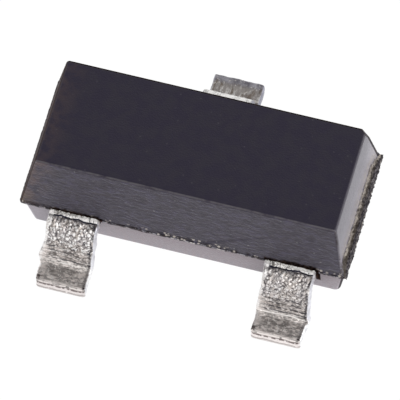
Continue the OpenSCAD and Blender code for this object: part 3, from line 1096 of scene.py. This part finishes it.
def flash_band(settings, low, high):
    """Thin ragged band that the mould squeezed out round the parting line."""
    reach = settings.flash_reach / MM
    height = settings.flash_height / MM
    grow = Vector((reach, reach, 0))
    band = add_block(
        "flash",
        Vector((low.x, low.y, PARTING - 0.6 * height)) - grow,
        Vector((high.x, high.y, PARTING + 0.4 * height)) + grow,
    )
    with edit_mode(band, "EDGE"):
        pick_edges(band, lambda middle, run: abs(run.z) > HAIR)
        bpy.ops.mesh.bevel(offset=settings.edge_radius / MM, segments=4, affect="EDGES")
        pick_faces(band, lambda middle, normal: abs(normal.z) > 0.9)
        bpy.ops.mesh.inset(thickness=3 * reach)
    divide_along(band, axis=2, spacing=height / 4, shortest=height / 2)
    divide_along(band, axis=0, spacing=0.012, shortest=1.0)
    divide_along(band, axis=1, spacing=0.012, shortest=0.6)
    outline = weigh(
        band, "outline",
        lambda place: 1 - min(place.x - low.x, high.x - place.x, place.y - low.y, high.y - place.y) / reach,
    )
    rag = texture("rag", "CLOUDS", noise_scale=0.022, noise_depth=2)
    tear = texture("tear", "CLOUDS", noise_scale=0.05, noise_depth=1)
    roughen(band, rag, 0.009, outline)
    roughen(band, tear, 0.022, outline, "Z")
    return band


def broken_gate(settings, right_end, front, rear):
    """Rough lump left on the body's end where the gate broke off, rising from the rear corner."""
    root, inset, front_corner = 0.2, 0.012, 0.1
    reach, rise = settings.gate_reach / MM, settings.gate_rise / MM
    drop, ramp = settings.gate_drop / MM, settings.gate_ramp / MM
    front, rear = front + inset, rear - inset
    gate = add_block(
        "gate", (right_end - root, front, PARTING - drop), (right_end + reach, rear, PARTING + rise)
    )
    for axis in (2, 0, 1):
        divide_along(gate, axis, spacing=0.011, shortest=drop)

    def above(place):
        return max(0, place.z - PARTING) / rise

    rear_ramp = weigh(gate, "rear_ramp", lambda place: 0.85 * above(place) * (place.y - rear + ramp) / ramp)
    push(gate, -rise, rear_ramp, "Z")
    front_lean = weigh(
        gate, "front_lean", lambda place: above(place) * (1 - (place.y - front) / front_corner)
    )
    push(gate, rise * math.tan(settings.draft), front_lean, "Y")
    lumps = texture("lumps", "CLOUDS", noise_scale=0.05, noise_depth=2)
    grit = texture("grit", "CLOUDS", noise_scale=0.018, noise_depth=2)
    outer = weigh(gate, "outer", lambda place: (place.x - right_end + 0.06) / 0.03)
    roughen(gate, lumps, 0.026, outer)
    roughen(gate, grit, 0.030, outer)
    return gate


def lead_gaps():
    """Solids of the gaps that the plastic leaves above the anode leads and beside one of them."""
    face, clear = BODY_LOW.y, 0.05
    half = (LEAD_MIDDLE - ANODE_LOW.x) * 0.84
    gaps = [
        add_block(
            "gap",
            (sign * LEAD_MIDDLE - half, face - clear, PARTING - 0.004),
            (sign * LEAD_MIDDLE + half, face + 0.024, PARTING + 0.020),
        )
        for sign in SIDES.values()
    ]
    slot = add_block(
        "gap",
        (LEAD_MIDDLE + half - 0.02, face - clear, PARTING - 0.27),
        (LEAD_MIDDLE + half + 0.026, face + 0.05, PARTING + 0.030),
    )
    return [*gaps, slot]


def tidy_mesh(piece):
    """Merges the slivers that cutting and uniting leave behind."""
    mesh_ops = bpy.ops.mesh
    steps = (
        (mesh_ops.remove_doubles, {"threshold": SLIVER}),
        (mesh_ops.dissolve_degenerate, {"threshold": SLIVER}),
        (mesh_ops.delete_loose, {}),
        (mesh_ops.quads_convert_to_tris, {}),
        (mesh_ops.normals_make_consistent, {"inside": False}),
    )
    with edit_mode(piece, "VERT"):
        for operator, settings in steps:
            mesh_ops.select_all(action="SELECT")
            operator(**settings)


class DIODE_OT_body(bpy.types.Operator):
    """Make the moulded body with its parting line, flash and broken gate"""

    bl_idname = "diode.body"
    bl_label = "Moulded body"

    def execute(self, context):
        settings = context.scene.diode_body
        right_end = BODY_LOW.x + settings.body_length / MM
        low = Vector((BODY_LOW.x, BODY_LOW.y, PARTING))
        high = Vector((right_end, BODY_HIGH.y, BODY_HIGH.z))
        lean = math.tan(settings.draft)
        edge = settings.edge_radius / MM
        body = mould_half(
            "moulded_body", low, high, lean * (high.z - low.z), edge, edge, 1, settings.top_shift / MM
        )
        wear_corner(body, worn_place(settings))
        eased = weigh(
            body, "eased", lambda place: (high.z - place.z) / (high.z - PARTING) if place.x < 0 else 0
        )
        push(body, settings.left_ease / MM, eased, "X")
        flash_low = low + Vector((settings.left_ease / MM, 0, 0))
        trim = Vector((settings.lower_shortfall, settings.lower_narrowing, 0)) / MM / 2
        shift = Vector((settings.lower_shift / MM, 0, 0))
        lower_low = Vector((low.x, low.y, BODY_LOW.z)) + trim + shift
        lower_high = Vector((high.x, high.y, PARTING)) - trim + shift
        lower = mould_half(
            "lower_half", lower_low, lower_high, math.tan(settings.lower_draft) * (PARTING - BODY_LOW.z),
            edge, settings.bottom_radius / MM, -1,
        )
        combine(body, lower, "UNION")
        combine(body, flash_band(settings, flash_low, high), "UNION")
        combine(body, broken_gate(settings, right_end, low.y, high.y), "UNION")
        for gap in lead_gaps():
            combine(body, gap, "DIFFERENCE")
        tidy_mesh(body)
        finish_piece(body, EpoxyFinish(settings).finished(), "epoxy", "body", even=True)
        return {"FINISHED"}


def lead_route(settings, inner_end, bend_start):
    """Middle line of a formed lead, from its toe to its inner end, as distance out and height."""
    middle = settings.thickness / MM / 2
    shoulder = settings.shoulder / MM + middle
    heel = settings.heel / MM + middle
    slope = settings.slope
    drop = PARTING - 2 * middle
    slope_length = (drop - (shoulder + heel) * (1 - math.cos(slope))) / math.sin(slope)
    heel_start = bend_start + (shoulder + heel) * math.sin(slope) + slope_length * math.cos(slope)
    turns = [slope * k / BEND_STEPS for k in range(BEND_STEPS + 1)]
    return [
        (TOE_REACH, middle),
        *((heel_start - heel * math.sin(a), middle + heel * (1 - math.cos(a))) for a in turns),
        *(
            (bend_start + shoulder * math.sin(a), PARTING - middle - shoulder * (1 - math.cos(a)))
            for a in reversed(turns)
        ),
        (inner_end, PARTING - middle),
    ]


def route_length(route):
    """Length of a route through its points."""
    return sum(math.dist(a, b) for a, b in zip(route, route[1:]))


def flat_strip(name, settings, width, visible, plate_start, plate_end, plate_width):
    """Stamped strip before it is bent: finely divided where it shows, with its plate at the inner end."""
    thickness = settings.thickness / MM
    strip = add_block(name, (0, -thickness / 2, -width / 2), (visible, thickness / 2, width / 2))
    with edit_mode(strip, "EDGE"):
        pick_edges(strip, lambda middle, run: abs(run.x) > HAIR or middle.x < HAIR)
        bpy.ops.mesh.bevel(offset=settings.edge / MM, segments=2, affect="EDGES")
    grain = settings.grain / MM
    divide_along(strip, axis=0, spacing=grain, shortest=0.1)
    divide_along(strip, axis=2, spacing=grain, shortest=0.1)
    divide_along(strip, axis=1, spacing=1.5 * grain, shortest=0.05)
    with edit_mode(strip, "FACE"):
        pick_faces(strip, lambda middle, normal: normal.x > 0.9 and middle.x > visible - HAIR)
        for run in (plate_start - visible, plate_end - plate_start):
            bpy.ops.mesh.extrude_region_move(TRANSFORM_OT_translate={"value": (run, 0, 0)})
        for side in SIDES.values():
            pick_faces(
                strip,
                lambda middle, normal: normal.z * side > 0.5 and middle.x > plate_start + HAIR,
            )
            spread = side * (plate_width - width) / 2
            bpy.ops.mesh.extrude_region_move(TRANSFORM_OT_translate={"value": (0, 0, spread)})
    return strip


def store_strip_places(strip, way, seed):
    """Keeps each point's place on the flat strip and the lead's own offset, which its patterns follow."""
    kept = strip.data.attributes.new("strip", "FLOAT_VECTOR", "POINT").data
    own = strip.data.attributes.new("own", "FLOAT_VECTOR", "POINT").data
    for vertex in strip.data.vertices:
        along, height, across = vertex.co
        kept[vertex.index].vector = (along, height, -way * across)
        own[vertex.index].vector = (1.7 * seed, 0.9 * seed, 2.3 * seed)


def store_relief(strip):
    """Keeps how far the crinkles raised or sank each point of the strip's faces."""
    kept = strip.data.attributes["strip"].data
    relief = [
        (vertex.co - kept[vertex.index].vector).y * (1 if kept[vertex.index].vector.y > 0 else -1)
        for vertex in strip.data.vertices
    ]
    strip.data.attributes.new("relief", "FLOAT", "POINT").data.foreach_set("value", relief)


def stretch_group(strip, name, start, end, soft, under=1.0):
    """Vertex group of a stretch along a strip, which may weigh less on the strip's sides and underneath."""
    return weigh(
        strip, name,
        lambda place: bump_between(place.x, start, end, soft) * (1 if place.y > UPPER_FACE else under),
    )


def bell(value, middle, spread):
    """One at a middle value, falling smoothly to both sides of it."""
    return math.exp(-(((value - middle) / spread) ** 2))


def crumple(strip, settings, visible, seed, front):
    """Presses crinkles and tool marks into the faces of the flat strip."""
    shown = weigh(
        strip, "shown",
        lambda place: bump_between(place.x, -1, visible - (0.06 if front else 0.32), 0.02)
        * (0.1 if place.y < -UPPER_FACE and place.x < 0.2 else 1),
    )
    slope_end = 0.69 if front else 0.56
    slope = stretch_group(strip, "slope", start=0.42, end=slope_end, soft=0.03, under=0.3)
    heel = stretch_group(strip, "heel", start=0.24, end=0.45, soft=0.05, under=0)
    crease = weigh(
        strip, "crease",
        lambda place: bell(place.x, CREASE + 0.005 * math.sin(31 * place.z + seed), 0.006)
        * (place.y > UPPER_FACE),
    )
    squiggle = texture(
        "squiggle", "MUSGRAVE", musgrave_type="RIDGED_MULTIFRACTAL", noise_scale=0.032, octaves=1.5,
    )
    lumps = texture("plating_lumps", "CLOUDS", noise_scale=0.03, noise_depth=2)
    waver = texture("waver", "CLOUDS", noise_scale=0.07, noise_depth=2)
    marks = texture("tool_marks", "CLOUDS", noise_scale=0.016, noise_depth=1)

    # Each lead takes its crinkles from another part of the textures.
    strip.location = (0.37 * seed, 0.53 * seed, 0.71 * seed)
    roughen(strip, squiggle, -settings.crinkle / MM, slope, "Y", middle=0.6)
    roughen(strip, lumps, 0.012, slope)
    roughen(strip, marks, 0.012, heel, "Y", (1, 1, 9))
    roughen(strip, waver, 0.012, shown)
    if front:
        roughen(strip, marks, 0.020, stretch_group(strip, "stub", start=CREASE, end=0.76, soft=0.02))
    strip.location = (0, 0, 0)
    if front:
        push(strip, -0.011, crease, "Y")


def shape_toe(strip, settings, front):
    """Leans the cut of the toe back and rounds its corners."""
    thickness = settings.thickness / MM
    leaning = weigh(strip, "leaning", lambda place: (place.y / thickness + 0.5) * (1 - place.x / 0.05))
    push(strip, settings.toe_cut / MM * (1 if front else 0.2), leaning, "X")
    corners = weigh(
        strip, "corners",
        lambda place: (1 - place.x / 0.04) * (max(0, abs(place.z) - 0.18) / 0.04) ** 2,
    )
    push(strip, 0.013 if front else 0.005, corners, "X")


def wave_edges(strip, waves):
    """Pushes stretches of a strip's edges in or out."""
    for number, (side, middle, spread, reach) in enumerate(waves):
        wave = weigh(
            strip, f"wave_{number}",
            lambda place: bell(place.x, middle, spread) * (side * place.z - 0.12) / 0.10,
        )
        push(strip, reach * side, wave, "Z")


def bend_lead(strip, route):
    """Turns a strip over, because the route runs inwards from the toe, and bends it along the route."""
    make_active(strip)
    strip.rotation_euler = (math.pi, 0, 0)
    bpy.ops.object.transform_apply(location=False, scale=False)
    line = bpy.data.curves.new("route", "CURVE")
    line.dimensions = "2D"
    spline = line.splines.new("POLY")
    spline.points.add(len(route) - 1)
    for point, (out, height) in zip(spline.points, route):
        point.co = (out, height, 0, 1)
    guide = bpy.data.objects.new("route", line)
    bpy.context.scene.collection.objects.link(guide)
    add_modifier(strip, "CURVE", object=guide, deform_axis="POS_X")
    bpy.data.objects.remove(guide)


def form_lead(
    settings, name, node, finish, *, x, way, width, body_side, stub, setback, inner_end, plate_width,
    foot_shift, waves, seed,
):
    """Stamps a lead, crumples it, bends it along its route and stands it before or behind the body."""
    route = lead_route(settings, inner_end, body_side + stub / MM)
    total = route_length(route)
    at_body = total - (body_side - inner_end)
    visible = at_body + DIVIDED_INSIDE
    strip = flat_strip(name, settings, width / MM, visible, at_body + setback / MM, total, plate_width)
    store_strip_places(strip, way, seed)
    crumple(strip, settings, visible, seed, way < 0)
    if foot_shift:
        push(strip, foot_shift, stretch_group(strip, "shifted", start=0.06, end=0.46, soft=0.12), "Z")
    shape_toe(strip, settings, way < 0)
    wave_edges(strip, waves + HEEL_BULGES)
    store_relief(strip)
    bend_lead(strip, route)
    strip.rotation_euler = (math.pi / 2, 0, way * math.pi / 2)
    strip.location = (x * MM, 0, 0)
    finish_piece(strip, finish, "tinned_lead", node, sharp=60)


class DIODE_OT_leads(bpy.types.Operator):
    """Make the three formed leads with their posts and chip island"""

    bl_idname = "diode.leads"
    bl_label = "Formed leads"

    def execute(self, context):
        settings = context.scene.diode_leads
        front, rear = -BODY_LOW.y, BODY_HIGH.y
        front_side = route_length(lead_route(settings, front, front + settings.stub / MM))
        rear_side = route_length(lead_route(settings, rear, rear + settings.cathode_stub / MM))
        front_finish = FrontTin(settings, front_side).finished()
        for side, sign in SIDES.items():
            form_lead(
                settings, f"formed_lead_{side}", f"lead_anode_{side}", front_finish,
                x=sign * LEAD_MIDDLE, way=-1, width=settings.width, body_side=front, stub=settings.stub,
                setback=settings.post_setback, inner_end=-ANODE_HIGH.y,
                plate_width=ANODE_HIGH.x - ANODE_LOW.x, foot_shift=FOOT_SHIFTS[side],
                waves=EDGE_WAVES[side], seed=3 + sign,
            )
        form_lead(
            settings, "formed_lead_rear", "lead_cathode", RearTin(settings, rear_side).finished(),
            x=0, way=1, width=settings.cathode_width, body_side=rear, stub=settings.cathode_stub,
            setback=settings.island_setback, inner_end=CATHODE_LOW.y,
            plate_width=CATHODE_HIGH.x - CATHODE_LOW.x, foot_shift=0, waves=EDGE_WAVES["rear"], seed=7,
        )
        return {"FINISHED"}


class DIODE_OT_chips(bpy.types.Operator):
    """Finish the chips, their glue and their contacts"""

    bl_idname = "diode.chips"
    bl_label = "Chips"

    def execute(self, context):
        finishes = {
            "die_glue": plain_finish(
                "silver_glue", (0.55, 0.54, 0.52), metallic=0.6, roughness=0.5, scale=80, depth=0.002
            ),
            "diode_chip": plain_finish(
                "silicon", (0.10, 0.11, 0.14), metallic=0.3, roughness=0.2, scale=40, depth=0.0005
            ),
            "anode_contact": plain_finish(
                "chip_metal", (0.82, 0.82, 0.84), metallic=1.0, roughness=0.25, scale=120, depth=0.0004
            ),
        }
        for kind, finish in finishes.items():
            for side in SIDES:
                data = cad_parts[f"{kind}_{side}"].data
                data.materials.clear()
                data.materials.append(finish)
        return {"FINISHED"}


def looped_wire(settings, start, end):
    """Round wire that rises from its start and comes down flat to its end."""
    rise = Vector((0, 0, settings.loop_rise / MM))
    across = Vector((end.x - start.x, end.y - start.y, 0))
    deselect_all()
    bpy.ops.curve.primitive_bezier_curve_add()
    wire = bpy.context.object
    wire.matrix_world = Matrix()
    first, last = wire.data.splines[0].bezier_points
    for point in (first, last):
        point.handle_left_type = point.handle_right_type = "FREE"
    first.co = first.handle_left = start
    first.handle_right = start + rise
    last.handle_left = start + 0.6 * across + Vector((0, 0, end.z - start.z)) + rise
    last.co = last.handle_right = end
    wire.data.resolution_u = 32
    wire.data.bevel_depth = settings.wire / MM / 2
    wire.data.bevel_resolution = 6
    wire.data.use_fill_caps = True
    bpy.ops.object.convert(target="MESH")
    wire = bpy.context.object
    with edit_mode(wire, "VERT"):
        bpy.ops.mesh.select_all(action="SELECT")
        bpy.ops.mesh.remove_doubles(threshold=SLIVER)
    return wire


def ball_bond(settings, middle, foot):
    """Squashed ball that stands on the chip's contact."""
    height = settings.ball_height / MM
    deselect_all()
    bpy.ops.mesh.primitive_cylinder_add(
        vertices=48, radius=settings.ball / MM / 2, depth=height,
        location=(middle.x, middle.y, foot + height / 2),
    )
    ball = bpy.context.object
    bpy.ops.object.transform_apply()
    with edit_mode(ball, "EDGE"):
        pick_edges(ball, lambda middle, run: abs(run.z) < HAIR)
        bpy.ops.mesh.bevel(offset=0.35 * height, segments=4, affect="EDGES")
    return ball


def stitch_bond(settings, middle, foot, heading):
    """Flattened end of the wire on the bonding post."""
    half = Vector((settings.stitch_length, settings.stitch_width, settings.stitch_thickness)) / MM / 2
    stitch = add_block("stitch", -half, half)
    with edit_mode(stitch, "EDGE"):
        pick_edges(stitch, lambda middle, run: middle.z > -HAIR)
        bpy.ops.mesh.bevel(offset=0.5 * half.z, segments=2, affect="EDGES")
    stitch.rotation_euler = (0, 0, heading)
    stitch.location = (middle.x, middle.y, foot + half.z)
    make_active(stitch)
    bpy.ops.object.transform_apply()
    return stitch


class DIODE_OT_wires(bpy.types.Operator):
    """Make the two bond wires with their ball and stitch bonds"""

    bl_idname = "diode.wires"
    bl_label = "Bond wires"

    def execute(self, context):
        settings = context.scene.diode_bonds
        finish = plain_finish(
            "gold_wire", settings.gold, metallic=1.0, roughness=0.2, scale=150, depth=0.0006
        )
        post_y = (BODY_LOW.y + context.scene.diode_leads.post_setback / MM + ANODE_HIGH.y) / 2
        for side, sign in SIDES.items():
            low, high = node_box(f"anode_contact_{side}")
            start = (low + high) / 2
            start.z = high.z + settings.ball_height / MM / 2
            end = Vector((sign * LEAD_MIDDLE, post_y, PARTING + settings.wire / MM / 2 + HAIR))
            wire = looped_wire(settings, start, end)
            wire.name = f"gold_wire_{side}"
            combine(wire, ball_bond(settings, start, high.z), "UNION")
            heading = math.atan2(end.y - start.y, end.x - start.x)
            combine(wire, stitch_bond(settings, end, PARTING, heading), "UNION")
            finish_piece(wire, finish, "gold_wire", f"bond_wire_{side}")
        return {"FINISHED"}


def add_lamp(name, place, size, radiance, colour):
    """Square soft lamp that faces the part and shines with a set radiance."""
    lamp = bpy.data.lights.new(name, "AREA")
    lamp.shape = "SQUARE"
    lamp.size = size
    lamp.energy = radiance * math.pi * size * size
    lamp.color = colour
    holder = bpy.data.objects.new(name, lamp)
    holder.location = place
    holder.rotation_euler = (-Vector(place)).to_track_quat("-Z", "Y").to_euler()
    bpy.context.scene.collection.objects.link(holder)


def pale_world():
    """Soft even light with a dimmer ceiling, white where it is seen."""
    world = bpy.data.worlds.new("studio")
    bpy.context.scene.world = world
    world.use_nodes = True
    wiring = Wiring(world.node_tree)
    height = wiring.axes(wiring.node("ShaderNodeTexCoord", output="Generated"))[2]
    ceiling = 1 - 0.72 * height.step(0.45, 0.8)
    seen = wiring.node("ShaderNodeLightPath", output="Is Camera Ray")
    wiring.feed(wiring.tree.nodes["Background"], {"Color": (1, 1, 1, 1), "Strength": seen.larger(ceiling)})


def floor_finish():
    """White floor that still takes the part's shadow."""
    material = bpy.data.materials.new("floor")
    material.use_nodes = True
    wiring = Wiring(material.node_tree)
    wiring.tree.nodes.remove(wiring.tree.nodes["Principled BSDF"])
    card = wiring.node("ShaderNodeBsdfDiffuse", None, {"Color": (1, 1, 1, 1)})
    glow = wiring.node("ShaderNodeEmission", None, {"Strength": 1.025})
    seen = largest(*(
        wiring.node("ShaderNodeLightPath", output=f"Is {kind} Ray")
        for kind in ("Camera", "Glossy", "Transmission")
    ))
    blend = wiring.node("ShaderNodeMixShader", None, {0: seen * 0.97, 1: card, 2: glow})
    wiring.feed(wiring.tree.nodes["Material Output"], {"Surface": blend})
    return material


class DIODE_OT_stage(bpy.types.Operator):
    """Set up the floor, the soft lamps and the camera"""

    bl_idname = "diode.stage"
    bl_label = "Stage"

    def execute(self, context):
        settings = context.scene.diode_stage
        deselect_all()
        bpy.ops.mesh.primitive_plane_add(size=settings.floor_size, location=(0, 0, 0))
        floor = context.object
        floor.name = "floor"
        floor.data.materials.append(floor_finish())
        pale_world()
        add_lamp("key", place=(0.10, -0.12, 0.22), size=0.16, radiance=2.8, colour=(1, 0.98, 0.96))
        add_lamp("side", place=(0.24, 0.02, 0.08), size=0.16, radiance=2.2, colour=(0.97, 0.97, 1))
        self.place_camera(context, settings)
        context.scene.view_settings.view_transform = "Standard"
        return {"FINISHED"}

    def place_camera(self, context, settings):
        """Camera turned round a point above the board, and then shifted along its own axes."""
        azimuth, elevation, roll = settings.azimuth, settings.elevation, settings.roll
        back = Vector((
            math.sin(azimuth) * math.cos(elevation),
            -math.cos(azimuth) * math.cos(elevation),
            math.sin(elevation),
        ))
        level = Vector((math.cos(azimuth), math.sin(azimuth), 0))
        upright = back.cross(level)
        right = level * math.cos(roll) + upright * math.sin(roll)
        up = upright * math.cos(roll) - level * math.sin(roll)
        camera = bpy.data.cameras.new("camera")
        camera.lens = camera.sensor_width * settings.distance / settings.view_width
        camera.clip_start = settings.distance / 60
        camera.clip_end = 20 * settings.distance
        holder = bpy.data.objects.new("camera", camera)
        place = (
            Vector((0, 0, settings.aim_height)) + back * settings.distance
            + right * settings.pan_right + up * settings.pan_up
        )
        holder.matrix_world = Matrix.Translation(place) @ Matrix((right, up, back)).transposed().to_4x4()
        context.scene.collection.objects.link(holder)
        context.scene.camera = holder


OPERATORS = (DIODE_OT_body, DIODE_OT_leads, DIODE_OT_chips, DIODE_OT_wires, DIODE_OT_stage)
SETTINGS = {
    "diode_body": DiodeBodySettings,
    "diode_leads": DiodeLeadSettings,
    "diode_bonds": DiodeBondSettings,
    "diode_stage": DiodeStageSettings,
}


class DIODE_PT_panel(bpy.types.Panel):
    """Sizes, colours and steps of the switching diode"""

    bl_idname = "DIODE_PT_panel"
    bl_label = "Switching diode"
    bl_space_type = "VIEW_3D"
    bl_region_type = "UI"
    bl_category = "Diode"

    def draw(self, context):
        layout = self.layout
        for name, group in SETTINGS.items():
            box = layout.box()
            box.label(text=name.replace("_", " "))
            for setting in group.__annotations__:
                box.prop(getattr(context.scene, name), setting)
        for operator in OPERATORS:
            layout.operator(operator.bl_idname)


def register():
    for group in SETTINGS.values():
        bpy.utils.register_class(group)
    for operator in OPERATORS:
        bpy.utils.register_class(operator)
    bpy.utils.register_class(DIODE_PT_panel)
    for name, group in SETTINGS.items():
        setattr(bpy.types.Scene, name, bpy.props.PointerProperty(type=group))


def unregister():
    for name in SETTINGS:
        delattr(bpy.types.Scene, name)
    bpy.utils.unregister_class(DIODE_PT_panel)
    for operator in reversed(OPERATORS):
        bpy.utils.unregister_class(operator)
    for group in reversed(SETTINGS.values()):
        bpy.utils.unregister_class(group)


def main():
    register()
    bpy.ops.diode.body()
    bpy.ops.diode.leads()
    bpy.ops.diode.chips()
    bpy.ops.diode.wires()
    bpy.ops.diode.stage()


if __name__ == "__main__":
    main()
